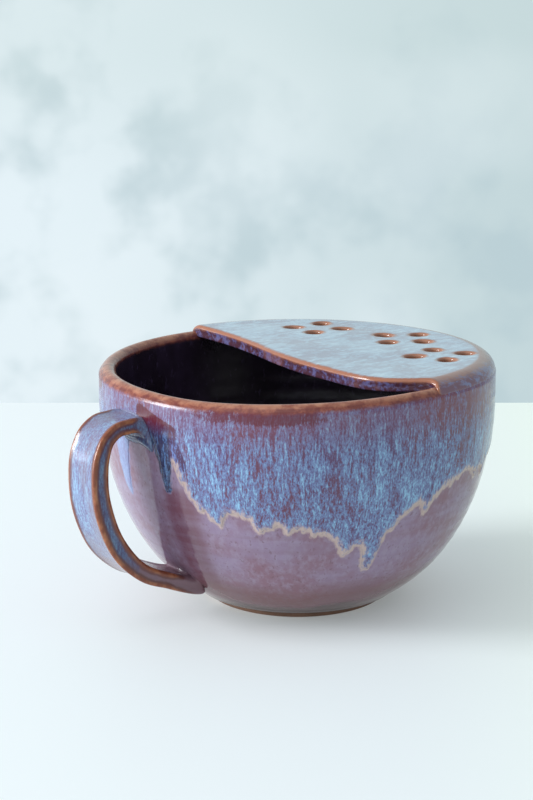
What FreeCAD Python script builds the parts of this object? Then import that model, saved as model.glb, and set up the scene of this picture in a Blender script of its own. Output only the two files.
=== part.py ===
"""Yarn bowl: a wheel-thrown bowl with a half cover, a strap handle and three coats of glaze.

Millimetres, +Z up. The origin is the centre of the foot's resting face, on the bowl's axis.
The handle stands out along -X, the half cover lies over the +X half of the mouth, and the
yarn slot is at the -Y end of the cover's free edge.
"""
import FreeCAD
import Part

import math
import os

V = FreeCAD.Vector

# Driving dimensions: the thrown bowl
BOWL_RADIUS = 79.1          # widest point of the clay wall
RIM_HEIGHT = 96.6           # crest of the clay rim
LIP_RADIUS = 2.7            # the rim is a full round, so the wall is twice this thick there
FLOOR_HEIGHT = 10.0         # top of the inside floor
BASE_HEIGHT = 2.6           # underside of the base, level with the top of the foot ring

# Driving dimensions: the foot
FOOT_RADIUS = 36.4
FOOT_INNER_RADIUS = 29.5
FOOT_EDGE = 0.9             # rounding of the two bottom corners

# Driving dimensions: the half cover
COVER_TOP = 100.2
COVER_THICKNESS = 5.3
COVER_SHOULDER = 72.4       # where the flat top turns down over the rim
COVER_EDGE_ROUND = 2.0
HOLE_LENGTH = 8.0           # needle holes are short rounded petals
HOLE_WIDTH = 7.0
HOLE_RING = 10.4            # from a flower's centre to its holes
HOLES_PER_FLOWER = 4

# Flowers of needle holes: centre x, centre y, turn of the first hole in degrees
FLOWERS = [(38.6, 36.8, 44.0), (53.3, -3.1, 12.0), (41.4, -38.4, -25.0)]

# Free edge of the cover, from the rim at +Y to the slot corner at -Y
COVER_EDGE_LINE = [
    (1.0, 88.0), (0.5, 72.5), (0.6, 50.0), (-2.6, 28.0), (-6.6, 4.0), (-8.4, -20.0),
    (-8.4, -44.0), (-5.4, -58.0), (2.4, -67.8), (7.0, -74.4), (6.8, -79.5), (4.5, -86.0),
]

# Driving dimensions: the cover's joint, a coil of clay smoothed into the corner below it
COIL_LEG = 3.2
COIL_START_ANGLE = -78.0
COIL_END_ANGLE = 84.0

# Driving dimensions: the strap handle, in the XZ plane; s is the distance from the axis
# Centre line of the strap: s, z, width, thickness
STRAP_LINE = [
    (74.0, 81.9, 18.4, 5.6),
    (84.5, 84.7, 18.2, 5.3),
    (93.4, 82.0, 18.4, 5.4),
    (98.0, 74.6, 18.8, 6.2),
    (99.3, 63.6, 19.2, 6.9),
    (97.2, 48.6, 19.8, 7.0),
    (90.6, 34.2, 21.0, 7.0),
    (80.0, 23.4, 22.4, 6.5),
    (67.0, 17.4, 23.4, 6.0),
    (50.0, 13.2, 24.0, 6.0),
]
STRAP_SQUARENESS = 3.4      # exponent of the section's rounded-rectangle curve
STRAP_STATIONS = 22

# Where each flared joint begins inside the wall and where the plain strap takes over,
# as distances from the axis, and what the joint adds to the section at its beginning:
# width, thickness, and a shift along the wall
UPPER_JOINT = {"begin": 77.0, "end": 86.0, "width": 9.0, "thickness": 17.0, "shift": -4.5}
LOWER_JOINT = {"begin": 54.0, "end": 71.0, "width": 6.0, "thickness": 5.5, "shift": 0.0}
JOINT_STATIONS = 6
SECTION_POINTS = 16

# Driving dimensions: glaze
BASE_COAT = 0.4
OVER_COAT = 0.5
LINER_COAT = 0.5
GLAZE_FOOT_LINE = 3.6       # the bare clay below it keeps the bowl off the kiln shelf
OVER_COAT_LIP_ANGLE = 35.0  # how far the second coat reaches up round the outside of the lip

# The second coat's lower edge round the bowl: angle from +X in degrees, height
RUN_LINE = [
    (-172, 70), (-152, 56), (-132, 49), (-113, 43), (-103, 33), (-94, 48), (-74, 60),
    (-48, 61), (-22, 57), (6, 50), (30, 61), (52, 52), (76, 61), (104, 58), (134, 54),
    (162, 66),
]

# The clay wall's outline, as (radius, height) from the foot up to the lip
OUTER_LINE = [
    (FOOT_RADIUS + 2.2, BASE_HEIGHT),
    (46.9, 8.0),
    (58.8, 19.2),
    (69.2, 36.0),
    (75.9, 55.0),
    (BOWL_RADIUS - 0.2, 75.0),
    (BOWL_RADIUS, RIM_HEIGHT - LIP_RADIUS),
]
# The same wall inside, from the lip down to the middle of the floor
INNER_LINE = [
    (BOWL_RADIUS - 2 * LIP_RADIUS, RIM_HEIGHT - LIP_RADIUS),
    (BOWL_RADIUS - 5.9, 75.0),
    (69.4, 54.0),
    (61.6, 36.0),
    (48.5, 21.0),
    (30.0, 12.4),
    (0.0, FLOOR_HEIGHT),
]

UP = V(0, 0, 1)
ORIGIN = V(0, 0, 0)


def spline(points, first=None, last=None):
    """A smooth curve through points, with its end directions set where they are given."""
    curve = Part.BSplineCurve()
    if first is None or last is None:
        curve.interpolate(Points=points)
    else:
        curve.interpolate(Points=points, InitialTangent=first, FinalTangent=last)
    return curve


def shifted(curve, distance, stations=6):
    """The curve moved sideways in the XZ plane, to its left as it runs."""
    first, last = curve.FirstParameter, curve.LastParameter
    points = []
    for i in range(stations + 1):
        at = first + (last - first) * i / stations
        direction = curve.tangent(at)[0]
        points.append(curve.value(at) + V(-direction.z, 0, direction.x) * distance)
    return spline(points, curve.tangent(first)[0], curve.tangent(last)[0])


def in_profile(points):
    """(radius, height) pairs as points of the XZ plane."""
    return [V(radius, 0, height) for radius, height in points]


OUTER_CURVE = spline(in_profile(OUTER_LINE), V(1, 0, 0.62), V(0, 0, 1))
INNER_CURVE = spline(in_profile(INNER_LINE), V(0, 0, -1), V(-1, 0, 0))
LIP_CENTRE = V(BOWL_RADIUS - LIP_RADIUS, 0, RIM_HEIGHT - LIP_RADIUS)


def lip_point(angle, coat=0.0):
    """A point on the lip's round, at an angle in degrees from outside (0) to inside (180)."""
    turn = math.radians(angle)
    return LIP_CENTRE + V(math.cos(turn), 0, math.sin(turn)) * (LIP_RADIUS + coat)


def lip_arc(start, end, coat=0.0):
    middle = lip_point((start + end) / 2, coat)
    return Part.Arc(lip_point(start, coat), middle, lip_point(end, coat)).toShape()


def line(start, end):
    return Part.LineSegment(start, end).toShape()


def revolved(edges, angle=360.0):
    """A closed profile in the XZ plane, turned about the bowl's axis."""
    face = Part.Face(Part.Wire(edges))
    return face.revolve(ORIGIN, UP, angle)


def curve_above(curve, height):
    """The part of a rising curve that lies above a height."""
    first, last = curve.FirstParameter, curve.LastParameter
    low, high = first, last
    for _ in range(40):
        middle = (low + high) / 2
        if curve.value(middle).z < height:
            low = middle
        else:
            high = middle
    return curve.toShape(high, last)


def make_bowl_wall():
    """Wall, lip, floor and base of the thrown bowl, as one turned clay solid."""
    foot = V(OUTER_LINE[0][0], 0, BASE_HEIGHT)
    base_centre = V(0, 0, BASE_HEIGHT)
    floor_centre = V(0, 0, FLOOR_HEIGHT)
    return revolved([
        OUTER_CURVE.toShape(),
        lip_arc(0, 180),
        INNER_CURVE.toShape(),
        line(floor_centre, base_centre),
        line(base_centre, foot),
    ])


def make_foot_ring():
    """The bare ring left by trimming, which the bowl stands on."""
    top = FOOT_RADIUS + 2.2
    ring = revolved([
        line(V(FOOT_INNER_RADIUS, 0, 0), V(FOOT_RADIUS, 0, 0)),
        line(V(FOOT_RADIUS, 0, 0), V(top, 0, BASE_HEIGHT)),
        line(V(top, 0, BASE_HEIGHT), V(FOOT_INNER_RADIUS - 1.5, 0, BASE_HEIGHT)),
        line(V(FOOT_INNER_RADIUS - 1.5, 0, BASE_HEIGHT), V(FOOT_INNER_RADIUS, 0, 0)),
    ])
    corners = [edge for edge in ring.Edges if edge.BoundBox.ZMax < 0.01]
    return ring.makeFillet(FOOT_EDGE, corners)


def petal_hole(x, y, turn):
    """A cutter for one needle hole: a post with an oblong section, along Z."""
    radius = HOLE_WIDTH / 2
    half_straight = (HOLE_LENGTH - HOLE_WIDTH) / 2
    corner = V(half_straight, radius, 0)
    corners = [corner, V(-corner.x, radius, 0), V(-corner.x, -radius, 0), V(corner.x, -radius, 0)]
    outline = Part.Wire([
        line(corners[0], corners[1]),
        Part.Arc(corners[1], V(-HOLE_LENGTH / 2, 0, 0), corners[2]).toShape(),
        line(corners[2], corners[3]),
        Part.Arc(corners[3], V(HOLE_LENGTH / 2, 0, 0), corners[0]).toShape(),
    ])
    depth = 3 * COVER_THICKNESS
    post = Part.Face(outline).extrude(V(0, 0, depth))
    post.rotate(ORIGIN, UP, turn)
    post.translate(V(x, y, COVER_TOP - (COVER_THICKNESS + depth) / 2))
    return post


def hole_places():
    """Centre and turn of every needle hole."""
    for centre_x, centre_y, first_turn in FLOWERS:
        for i in range(HOLES_PER_FLOWER):
            turn = first_turn + 360.0 * i / HOLES_PER_FLOWER
            reach = math.radians(turn)
            yield (centre_x + HOLE_RING * math.cos(reach),
                   centre_y + HOLE_RING * math.sin(reach), turn)


def cover_slab():
    """The cover's slab before it is trimmed round: its free edge cut and rounded."""
    points = [V(x, y, COVER_TOP - COVER_THICKNESS) for x, y in COVER_EDGE_LINE]
    far = 1.5 * BOWL_RADIUS
    corners = [points[-1], V(far, points[-1].y, points[-1].z),
               V(far, points[0].y, points[0].z), points[0]]
    free_edge = spline(points).toShape()
    sides = [line(start, end) for start, end in zip(corners, corners[1:])]
    slab = Part.Face(Part.Wire([free_edge] + sides)).extrude(V(0, 0, COVER_THICKNESS))
    rounded = [edge for edge in slab.Edges if edge.BoundBox.ZLength < 0.01
               and abs(edge.Length - free_edge.Length) < 0.01]
    return slab.makeFillet(COVER_EDGE_ROUND, rounded)


def make_half_cover(bowl_wall):
    """A slab laid on the rim, its outer margin pressed down over the lip."""
    underside = COVER_TOP - COVER_THICKNESS
    shoulder = V(COVER_SHOULDER, 0, COVER_TOP)
    crest = V(COVER_SHOULDER + 4.8, 0, COVER_TOP - 1.6)
    rim_side = V(BOWL_RADIUS + BASE_COAT + 0.3, 0, underside)
    disc = revolved([
        line(V(0, 0, underside), V(0, 0, COVER_TOP)),
        line(V(0, 0, COVER_TOP), shoulder),
        Part.Arc(shoulder, crest, rim_side).toShape(),
        line(rim_side, V(0, 0, underside)),
    ])
    cover = cover_slab().common(disc)
    for x, y, turn in hole_places():
        cover = cover.cut(petal_hole(x, y, turn))
    return cover.cut(bowl_wall)


def make_cover_joint_coil(bowl_wall):
    """The coil that holds the cover from below, smoothed to a hollow fillet."""
    top = COVER_TOP - COVER_THICKNESS
    wall = LIP_CENTRE.x
    face_edges = [
        line(V(wall, 0, top), V(wall - LIP_RADIUS - COIL_LEG, 0, top)),
        Part.Arc(V(wall - LIP_RADIUS - COIL_LEG, 0, top),
                 V(wall - LIP_RADIUS - 0.3 * COIL_LEG, 0, top - 0.3 * COIL_LEG),
                 V(wall - LIP_RADIUS, 0, top - COIL_LEG)).toShape(),
        line(V(wall - LIP_RADIUS, 0, top - COIL_LEG), V(wall, 0, top - COIL_LEG)),
        line(V(wall, 0, top - COIL_LEG), V(wall, 0, top)),
    ]
    coil = revolved(face_edges, COIL_END_ANGLE - COIL_START_ANGLE)
    coil.rotate(ORIGIN, UP, COIL_START_ANGLE)
    return coil.cut(bowl_wall)


def strap_size(path, at):
    """Width and thickness of the strap at a parameter, blended between the stations."""
    marks = [path.parameter(V(-s, 0, z)) for s, z, width, thickness in STRAP_LINE]
    for i in range(len(marks) - 1):
        if at <= marks[i + 1] or i == len(marks) - 2:
            share = (at - marks[i]) / (marks[i + 1] - marks[i])
            share = min(max(share, 0.0), 1.0)
            near, far = STRAP_LINE[i], STRAP_LINE[i + 1]
            return (near[2] + (far[2] - near[2]) * share,
                    near[3] + (far[3] - near[3]) * share)


def strap_section(path, at, joint=None, grow=0.0):
    """The strap's outline, a rounded rectangle square to the path, and fuller in a joint."""
    width, thickness = strap_size(path, at)
    along = path.tangent(at)[0]
    across = V(0, 1, 0)
    out = across.cross(along)
    centre = path.value(at)
    if joint:
        width += joint["width"] * grow
        thickness += joint["thickness"] * grow
        centre += V(0, 0, joint["shift"] * grow)
    points = []
    for i in range(SECTION_POINTS):
        turn = 2 * math.pi * i / SECTION_POINTS
        u = math.copysign(abs(math.cos(turn)) ** (2 / STRAP_SQUARENESS), math.cos(turn))
        v = math.copysign(abs(math.sin(turn)) ** (2 / STRAP_SQUARENESS), math.sin(turn))
        points.append(centre + across * (u * width / 2) + out * (v * thickness / 2))
    outline = Part.BSplineCurve()
    outline.interpolate(Points=points, PeriodicFlag=True)
    return Part.Wire(outline.toShape())


def path_at_reach(path, reach, low, high):
    """Parameter between low and high where the path is a given distance from the axis."""
    inward_first = -path.value(low).x < reach
    for _ in range(40):
        middle = (low + high) / 2
        if (-path.value(middle).x < reach) == inward_first:
            low = middle
        else:
            high = middle
    return (low + high) / 2


def lofted(path, start, end, stations, joint=None):
    """A solid through sections from start to end; a joint's extra size fades to its end."""
    wires = []
    for i in range(stations + 1):
        share = i / stations
        at = start + (end - start) * share
        wires.append(strap_section(path, at, joint, (1 - share) ** 2))
    return Part.makeLoft(wires, True)


def make_handle(bowl_wall):
    """The strap and the two flared joints that hold it to the wall."""
    path = spline([V(-s, 0, z) for s, z, width, thickness in STRAP_LINE])
    top, bottom = path.FirstParameter, path.LastParameter
    middle = (top + bottom) / 2
    reaches = [path_at_reach(path, UPPER_JOINT[key], top, middle) for key in ("begin", "end")]
    reaches += [path_at_reach(path, LOWER_JOINT[key], middle, bottom) for key in ("end", "begin")]
    upper_begin, leave, arrive, lower_begin = reaches
    strap = lofted(path, leave, arrive, STRAP_STATIONS)
    upper = lofted(path, upper_begin, leave, JOINT_STATIONS, UPPER_JOINT)
    lower = lofted(path, lower_begin, arrive, JOINT_STATIONS, LOWER_JOINT)
    return strap, outside_of(upper, bowl_wall), outside_of(lower, bowl_wall)


def outside_of(joint, bowl_wall):
    """The piece of a handle joint that is left outside the wall."""
    pieces = joint.cut(bowl_wall).Solids
    return min(pieces, key=lambda piece: piece.BoundBox.XMin)


def run_line_ring(radius):
    """The second coat's lower edge, carried out to a radius."""
    points = []
    for angle, height in RUN_LINE:
        turn = math.radians(angle)
        points.append(V(radius * math.cos(turn), radius * math.sin(turn), height))
    ring = Part.BSplineCurve()
    ring.interpolate(Points=points, PeriodicFlag=True)
    return ring.toShape()


def below_run_line():
    """Everything under the second coat's wavy lower edge, as a ring-shaped solid."""
    edge_surface = Part.makeRuledSurface(run_line_ring(0.5 * BOWL_RADIUS),
                                         run_line_ring(1.1 * BOWL_RADIUS))
    return edge_surface.extrude(V(0, 0, -RIM_HEIGHT))


def make_base_glaze():
    """First coat: over the outside and round the lip, to where the liner coat begins."""
    shifted_outer = shifted(OUTER_CURVE, -BASE_COAT)
    clay = curve_above(OUTER_CURVE, GLAZE_FOOT_LINE)
    glaze = curve_above(shifted_outer, GLAZE_FOOT_LINE)
    return revolved([
        clay,
        lip_arc(0, 180),
        line(lip_point(180), lip_point(180, BASE_COAT)),
        lip_arc(180, 0, BASE_COAT),
        glaze,
        line(glaze.Vertexes[0].Point, clay.Vertexes[0].Point),
    ])


def make_over_glaze():
    """Second coat: from its run line up to the outside shoulder of the lip."""
    inside = curve_above(shifted(OUTER_CURVE, -BASE_COAT), 15.0)
    outside = curve_above(shifted(OUTER_CURVE, -BASE_COAT - OVER_COAT), 15.0)
    top = OVER_COAT_LIP_ANGLE
    coat = revolved([
        inside,
        lip_arc(0, top, BASE_COAT),
        line(lip_point(top, BASE_COAT), lip_point(top, BASE_COAT + OVER_COAT)),
        lip_arc(top, 0, BASE_COAT + OVER_COAT),
        outside,
        line(outside.Vertexes[0].Point, inside.Vertexes[0].Point),
    ])
    return coat.cut(below_run_line())


def make_liner_glaze():
    """The dark coat poured round the inside, from the lip to the middle of the floor."""
    surface = shifted(INNER_CURVE, -LINER_COAT)
    clay_floor = INNER_CURVE.value(INNER_CURVE.LastParameter)
    glaze_floor = surface.value(surface.LastParameter)
    clay_top = INNER_CURVE.value(INNER_CURVE.FirstParameter)
    glaze_top = surface.value(surface.FirstParameter)
    return revolved([
        INNER_CURVE.toShape(),
        line(clay_floor, glaze_floor),
        surface.toShape(),
        line(glaze_top, clay_top),
    ])


def main():
    bowl_wall = make_bowl_wall()
    half_cover = make_half_cover(bowl_wall)
    coil = make_cover_joint_coil(bowl_wall)
    strap, upper_joint, lower_joint = make_handle(bowl_wall)
    base_glaze = make_base_glaze()
    for piece in (half_cover, upper_joint, lower_joint):
        base_glaze = base_glaze.cut(piece)
    over_glaze = make_over_glaze()
    for piece in (half_cover, upper_joint, lower_joint):
        over_glaze = over_glaze.cut(piece)
    liner_glaze = make_liner_glaze()
    for piece in (half_cover, coil):
        liner_glaze = liner_glaze.cut(piece)
    nodes = {
        "bowl_wall": bowl_wall,
        "foot_ring": make_foot_ring(),
        "half_cover": half_cover,
        "cover_joint_coil": coil,
        "handle_strap": strap,
        "handle_upper_joint": upper_joint,
        "handle_lower_joint": lower_joint,
        "base_glaze": base_glaze,
        "over_glaze": over_glaze,
        "liner_glaze": liner_glaze,
    }
    os.makedirs("parts", exist_ok=True)
    for name, shape in nodes.items():
        box = shape.BoundBox
        print(f"{name:20s} valid {shape.isValid()} solids {len(shape.Solids)} "
              f"volume {shape.Volume / 1000:8.2f} cm3 "
              f"x {box.XMin:7.1f} {box.XMax:7.1f} y {box.YMin:7.1f} {box.YMax:7.1f} "
              f"z {box.ZMin:6.1f} {box.ZMax:6.1f}")
        shape.exportStep(f"parts/{name}.step")


main()
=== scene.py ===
"""The look of the yarn bowl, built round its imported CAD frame.

The bowl's lengths are millimetres until mesh_object() turns them into metres, and its
surroundings are in metres. The frame is the CAD's: origin under the foot, +Z up, handle
along -X, half cover over +X.
"""
import math

import bmesh
import bpy
import numpy as np
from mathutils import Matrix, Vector
from mathutils.bvhtree import BVHTree
from mathutils.geometry import delaunay_2d_cdt


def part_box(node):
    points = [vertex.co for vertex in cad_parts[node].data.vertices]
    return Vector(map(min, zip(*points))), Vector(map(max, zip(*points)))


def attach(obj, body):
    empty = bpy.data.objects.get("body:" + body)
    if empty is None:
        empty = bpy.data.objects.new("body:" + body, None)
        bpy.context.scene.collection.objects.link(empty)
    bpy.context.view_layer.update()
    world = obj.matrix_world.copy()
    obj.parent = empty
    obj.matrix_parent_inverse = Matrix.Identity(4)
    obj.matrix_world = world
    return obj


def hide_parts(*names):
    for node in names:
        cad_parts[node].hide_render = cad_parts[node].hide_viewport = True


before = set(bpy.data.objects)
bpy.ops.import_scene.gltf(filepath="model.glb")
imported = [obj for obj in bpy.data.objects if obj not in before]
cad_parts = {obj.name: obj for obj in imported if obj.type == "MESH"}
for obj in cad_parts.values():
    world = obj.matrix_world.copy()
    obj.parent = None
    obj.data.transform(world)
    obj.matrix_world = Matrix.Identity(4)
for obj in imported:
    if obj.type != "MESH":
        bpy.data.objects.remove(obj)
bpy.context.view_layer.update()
MM = 0.001

# ---------------------------------------------------------------- sizes read off the frame


def node_tree(node):
    """A search tree over a CAD node's faces, in millimetres."""
    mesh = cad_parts[node].data
    points = [vertex.co / MM for vertex in mesh.vertices]
    return BVHTree.FromPolygons(points, [face.vertices for face in mesh.polygons])


def top_of(node):
    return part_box(node)[1].z / MM


CLEAR_ANGLE = math.radians(115)     # a direction with neither handle nor cover
CLEAR = Vector((math.cos(CLEAR_ANGLE), math.sin(CLEAR_ANGLE), 0))
RIM_TOP = top_of("base_glaze")
COVER_TOP = top_of("half_cover")
COVER_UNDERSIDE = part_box("half_cover")[0].z / MM
FOOT_TOP = top_of("foot_ring")
LINER_TOP = top_of("liner_glaze")
FAR = 300.0                         # beyond every part of the bowl


def radius_outside(tree, height):
    """Where a level ray from far outside meets a node."""
    hit = tree.ray_cast(CLEAR * FAR + Vector((0, 0, height)), -CLEAR)[0]
    return Vector((hit.x, hit.y)).length


def radius_inside(tree, height):
    """Where a level ray from the bowl's axis meets a node."""
    hit = tree.ray_cast(Vector((0, 0, height)), CLEAR)[0]
    return Vector((hit.x, hit.y)).length


def smooth_line(xs, ys):
    """A function through points, without corners: cubic pieces with averaged slopes."""
    xs, ys = np.asarray(xs, float), np.asarray(ys, float)
    slopes = np.gradient(ys, xs)

    def value(x):
        x = np.clip(x, xs[0], xs[-1])
        i = np.clip(np.searchsorted(xs, x) - 1, 0, len(xs) - 2)
        width = xs[i + 1] - xs[i]
        t = (x - xs[i]) / width
        rise = t * t * (3 - 2 * t)
        return (ys[i] * (1 - rise) + ys[i + 1] * rise
                + width * slopes[i] * t * (1 - t) ** 2
                - width * slopes[i + 1] * t * t * (1 - t))
    return value


def ring_line(pairs):
    """A periodic smooth function of an angle in degrees."""
    angles = [angle + turn for turn in (-360, 0, 360) for angle, value in pairs]
    values = [value for turn in (-360, 0, 360) for angle, value in pairs]
    return smooth_line(angles, values)


def smooth_step(x, low, high):
    t = np.clip((x - low) / (high - low), 0, 1)
    return t * t * (3 - 2 * t)


def between(x, low, full, fading, gone):
    """1 from full to fading, falling softly to 0 at low and at gone."""
    return smooth_step(x, low, full) * (1 - smooth_step(x, fading, gone))


def apart(degrees, place):
    """Angle between two directions round the bowl, all in degrees."""
    return np.abs((degrees - place + 180) % 360 - 180)


def full_turn(count):
    return 2 * math.pi * np.arange(count) / count


BASE_TREE = node_tree("base_glaze")
LINER_TREE = node_tree("liner_glaze")
FOOT_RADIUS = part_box("foot_ring")[1].x / MM
LIP_CENTRE_HEIGHT = LINER_TOP
GLAZE_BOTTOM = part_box("base_glaze")[0].z / MM
WALL_TOP = LIP_CENTRE_HEIGHT - 0.4      # where the wall is still measured, just below the lip

WALL_HEIGHTS = np.concatenate([[GLAZE_BOTTOM + 0.3], np.linspace(8, WALL_TOP, 11)])
OUTSIDE = smooth_line(WALL_HEIGHTS, [radius_outside(BASE_TREE, z) for z in WALL_HEIGHTS])
INSIDE_HEIGHTS = np.concatenate([[14, 17, 21], np.linspace(28, WALL_TOP, 8)])
INSIDE = smooth_line(INSIDE_HEIGHTS, [radius_inside(LINER_TREE, z) for z in INSIDE_HEIGHTS])
LIP_OUTER = radius_outside(BASE_TREE, WALL_TOP)
LIP_INNER = radius_inside(LINER_TREE, WALL_TOP)
LIP_MIDDLE, HALF_LIP = (LIP_OUTER + LIP_INNER) / 2, (LIP_OUTER - LIP_INNER) / 2
FLOOR_RADII = np.linspace(0, 34, 7)
FLOOR = smooth_line(FLOOR_RADII, [
    LINER_TREE.ray_cast(CLEAR * r + Vector((0, 0, 60)), Vector((0, 0, -1)))[0].z
    for r in FLOOR_RADII])

# ---------------------------------------------------------------- what throwing leaves behind

# How far the rim stands above or below level: angle from +X in degrees, lift
RIM_LIFT = ring_line([(-180, -1.1), (-160, -1.5), (-122, 0.1), (-86, 1.8), (-45, 1.2),
                      (10, 0.3), (70, 0.0), (120, -0.2)])
OUT_OF_ROUND = 0.25
OUTER_RINGS, INNER_RINGS = (0.07, 5.2), (0.13, 7.5)     # finger ridges: depth, pitch
RINGS_FADE = (84, 92)       # heights over which the ridges were smoothed away
LIP_BROWN = 3.4             # how far below its crest the lip breaks to brown


def settle(points):
    """Every piece's points, moved by the same small unevenness of a hand-made bowl."""
    x, y, z = np.moveaxis(np.asarray(points, float), -1, 0)
    angle = np.arctan2(y, x)
    reach = np.hypot(x, y)
    share = np.clip(reach / LIP_OUTER, 0, 1) ** 2 * smooth_step(z, 45, RIM_TOP)
    swell = OUT_OF_ROUND * (np.cos(2 * angle + 0.8) + 0.6 * np.cos(3 * angle - 1.1))
    swell = swell * np.clip(reach / LIP_OUTER, 0, 1) * smooth_step(z, 5, 40)
    grown = 1 + swell / np.maximum(reach, 1)
    lift = RIM_LIFT(np.degrees(angle)) * share
    return np.stack([x * grown, y * grown, z + lift], axis=-1)


def throwing_rings(angle, height, depth, pitch):
    """Finger ridges that climb the wall in a spiral; their strength comes and goes."""
    turns = height / pitch + angle / (2 * math.pi)
    strength = 0.6 + 0.4 * np.sin(height / 11.0 + 1.7 * np.sin(angle))
    return depth * strength * np.sin(2 * math.pi * turns)


# ---------------------------------------------------------------- meshes


def mesh_object(name, points, faces, attributes=None):
    """A smooth-shaded mesh object from points in millimetres."""
    mesh = bpy.data.meshes.new(name)
    mesh.from_pydata((np.asarray(points) * MM).tolist(), [], faces)
    work = bmesh.new()
    work.from_mesh(mesh)
    bmesh.ops.recalc_face_normals(work, faces=work.faces)
    work.to_mesh(mesh)
    work.free()
    mesh.polygons.foreach_set("use_smooth", [True] * len(mesh.polygons))
    for label, values in (attributes or {}).items():
        layer = mesh.attributes.new(label, "FLOAT", "POINT")
        layer.data.foreach_set("value", np.asarray(values, np.float32).ravel())
    piece = bpy.data.objects.new(name, mesh)
    bpy.context.scene.collection.objects.link(piece)
    return piece


def band_faces(upper, lower, columns):
    """Quads between two rings of points, given by each ring's first point."""
    following = [(j + 1) % columns for j in range(columns)]
    return [(upper + j, upper + k, lower + k, lower + j) for j, k in enumerate(following)]


def grid_faces(rows, columns):
    """Quads of a grid whose columns run round and close on themselves."""
    return [face for i in range(rows - 1)
            for face in band_faces(i * columns, (i + 1) * columns, columns)]


def fan_faces(centre, ring, columns):
    """Triangles from a centre point to a ring."""
    return [(centre, ring + j, ring + (j + 1) % columns) for j in range(columns)]


def turned(radii, heights, columns):
    """Grid points of a profile turned about the axis, as rows x columns x 3."""
    angle = full_turn(columns)
    radii, heights = np.asarray(radii)[:, None], np.asarray(heights)[:, None]
    x, y = radii * np.cos(angle), radii * np.sin(angle)
    return np.stack([x, y, np.broadcast_to(heights, x.shape)], axis=-1), angle


def push_out(points, angle, amount):
    """Turned points moved away from the axis."""
    points[..., 0] += amount * np.cos(angle)
    points[..., 1] += amount * np.sin(angle)


BODY_COLUMNS = 640
FLOOR_EDGE = (33.0, 15.5)   # radius and height where the inside wall turns into the floor
# Painted shadow and reflection of the handle, a darker patch in the first coat beside it: degrees
# and heights for between()
HANDLE_SHADE_ANGLES, HANDLE_SHADE_HEIGHTS = (190, 194, 201, 206), (6, 16, 56, 66)


def body_profile():
    """Radii and heights from the centre underneath to the floor, and where the parts begin."""
    under = np.linspace(0.05, 1, 7)[1:]
    heights = np.linspace(GLAZE_BOTTOM, LIP_CENTRE_HEIGHT, 74)
    lip_turn = np.radians(np.linspace(0, 180, 17)[1:-1])
    inside_heights = np.linspace(LIP_CENTRE_HEIGHT, FLOOR_EDGE[1], 40)
    floor_radii = np.linspace(FLOOR_EDGE[0], 2.0, 12)
    radii = np.concatenate([
        FOOT_RADIUS * under, OUTSIDE(heights), LIP_MIDDLE + HALF_LIP * np.cos(lip_turn),
        INSIDE(inside_heights), floor_radii])
    levels = np.concatenate([
        np.full(len(under), FOOT_TOP), heights,
        LIP_CENTRE_HEIGHT + (RIM_TOP - LIP_CENTRE_HEIGHT) * np.sin(lip_turn),
        inside_heights, FLOOR(floor_radii)])
    first_lip = len(under) + len(heights)
    return radii, levels, len(under), first_lip, first_lip + len(lip_turn)


def make_bowl_body():
    """Clay bowl with its first coat and its liner, one closed skin from foot to floor."""
    radii, levels, first_outside, first_lip, first_inside = body_profile()
    points, angle = turned(radii, levels, BODY_COLUMNS)
    outside, inside = np.zeros((len(radii), 1)), np.zeros((len(radii), 1))
    outside[first_outside:first_lip] = 1
    inside[first_inside:] = 1
    rings = (throwing_rings(angle, levels[:, None], *OUTER_RINGS) * outside
             + throwing_rings(angle, levels[:, None], *INNER_RINGS) * inside)
    push_out(points, angle, rings * between(levels, 6, 20, *RINGS_FADE)[:, None])
    lip = np.exp(-((levels - RIM_TOP) / LIP_BROWN) ** 2) * (levels > 60)
    dark = inside[:, 0].copy()
    dark[first_inside - 4:first_inside] = np.linspace(0.1, 0.8, 4)
    bare = (levels <= FOOT_TOP + 0.01).astype(float)
    # painted shadow and reflection of the handle on the wall beside it
    painted_handle_shade = (between(np.degrees(angle) % 360, *HANDLE_SHADE_ANGLES)
            * outside * between(levels, *HANDLE_SHADE_HEIGHTS)[:, None])
    points = settle(points).reshape(-1, 3)
    rows, bottom = len(radii), len(points)
    points = np.vstack([points, [[0, 0, FOOT_TOP], [0, 0, float(FLOOR(0.0))]]])
    faces = grid_faces(rows, BODY_COLUMNS)
    faces += fan_faces(bottom, 0, BODY_COLUMNS)
    faces += fan_faces(bottom + 1, (rows - 1) * BODY_COLUMNS, BODY_COLUMNS)

    def spread(values, at_bottom, at_floor):
        return np.concatenate([np.repeat(values, BODY_COLUMNS), [at_bottom, at_floor]])
    return mesh_object("bowl_body", points, faces, {
        "lip": spread(lip, 0, 0), "dark": spread(dark, 0, 1), "bare": spread(bare, 1, 0),
        "painted_handle_shade": np.concatenate([painted_handle_shade.ravel(), [0, 0]])})


# ---------------------------------------------------------------- the second coat

# Level of the second coat's lower edge: angle in degrees, height
RUN_LEVEL = ring_line([
    (-180, 79), (-173.5, 83.5), (-171.5, 81), (-169.2, 75), (-167.7, 68), (-166.8, 61),
    (-166, 59.5), (-165.2, 62), (-164.7, 69), (-163.9, 72.5), (-162.6, 71.5), (-160.5, 65),
    (-158, 59.5), (-153, 54.5), (-146, 54), (-138, 51.5),
    (-130, 50.5), (-122, 47), (-114, 43.5), (-107, 41), (-100.5, 44), (-96, 49.5), (-91, 54),
    (-84, 56), (-78, 60), (-70, 62.5), (-60, 61.5), (-52, 63.0), (-42, 64.5), (-30, 63),
    (-20, 61), (0, 58), (20, 62),
    (40, 60), (60, 61), (80, 59), (100, 63), (120, 60), (140, 64), (158, 70), (168, 77)])
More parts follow.
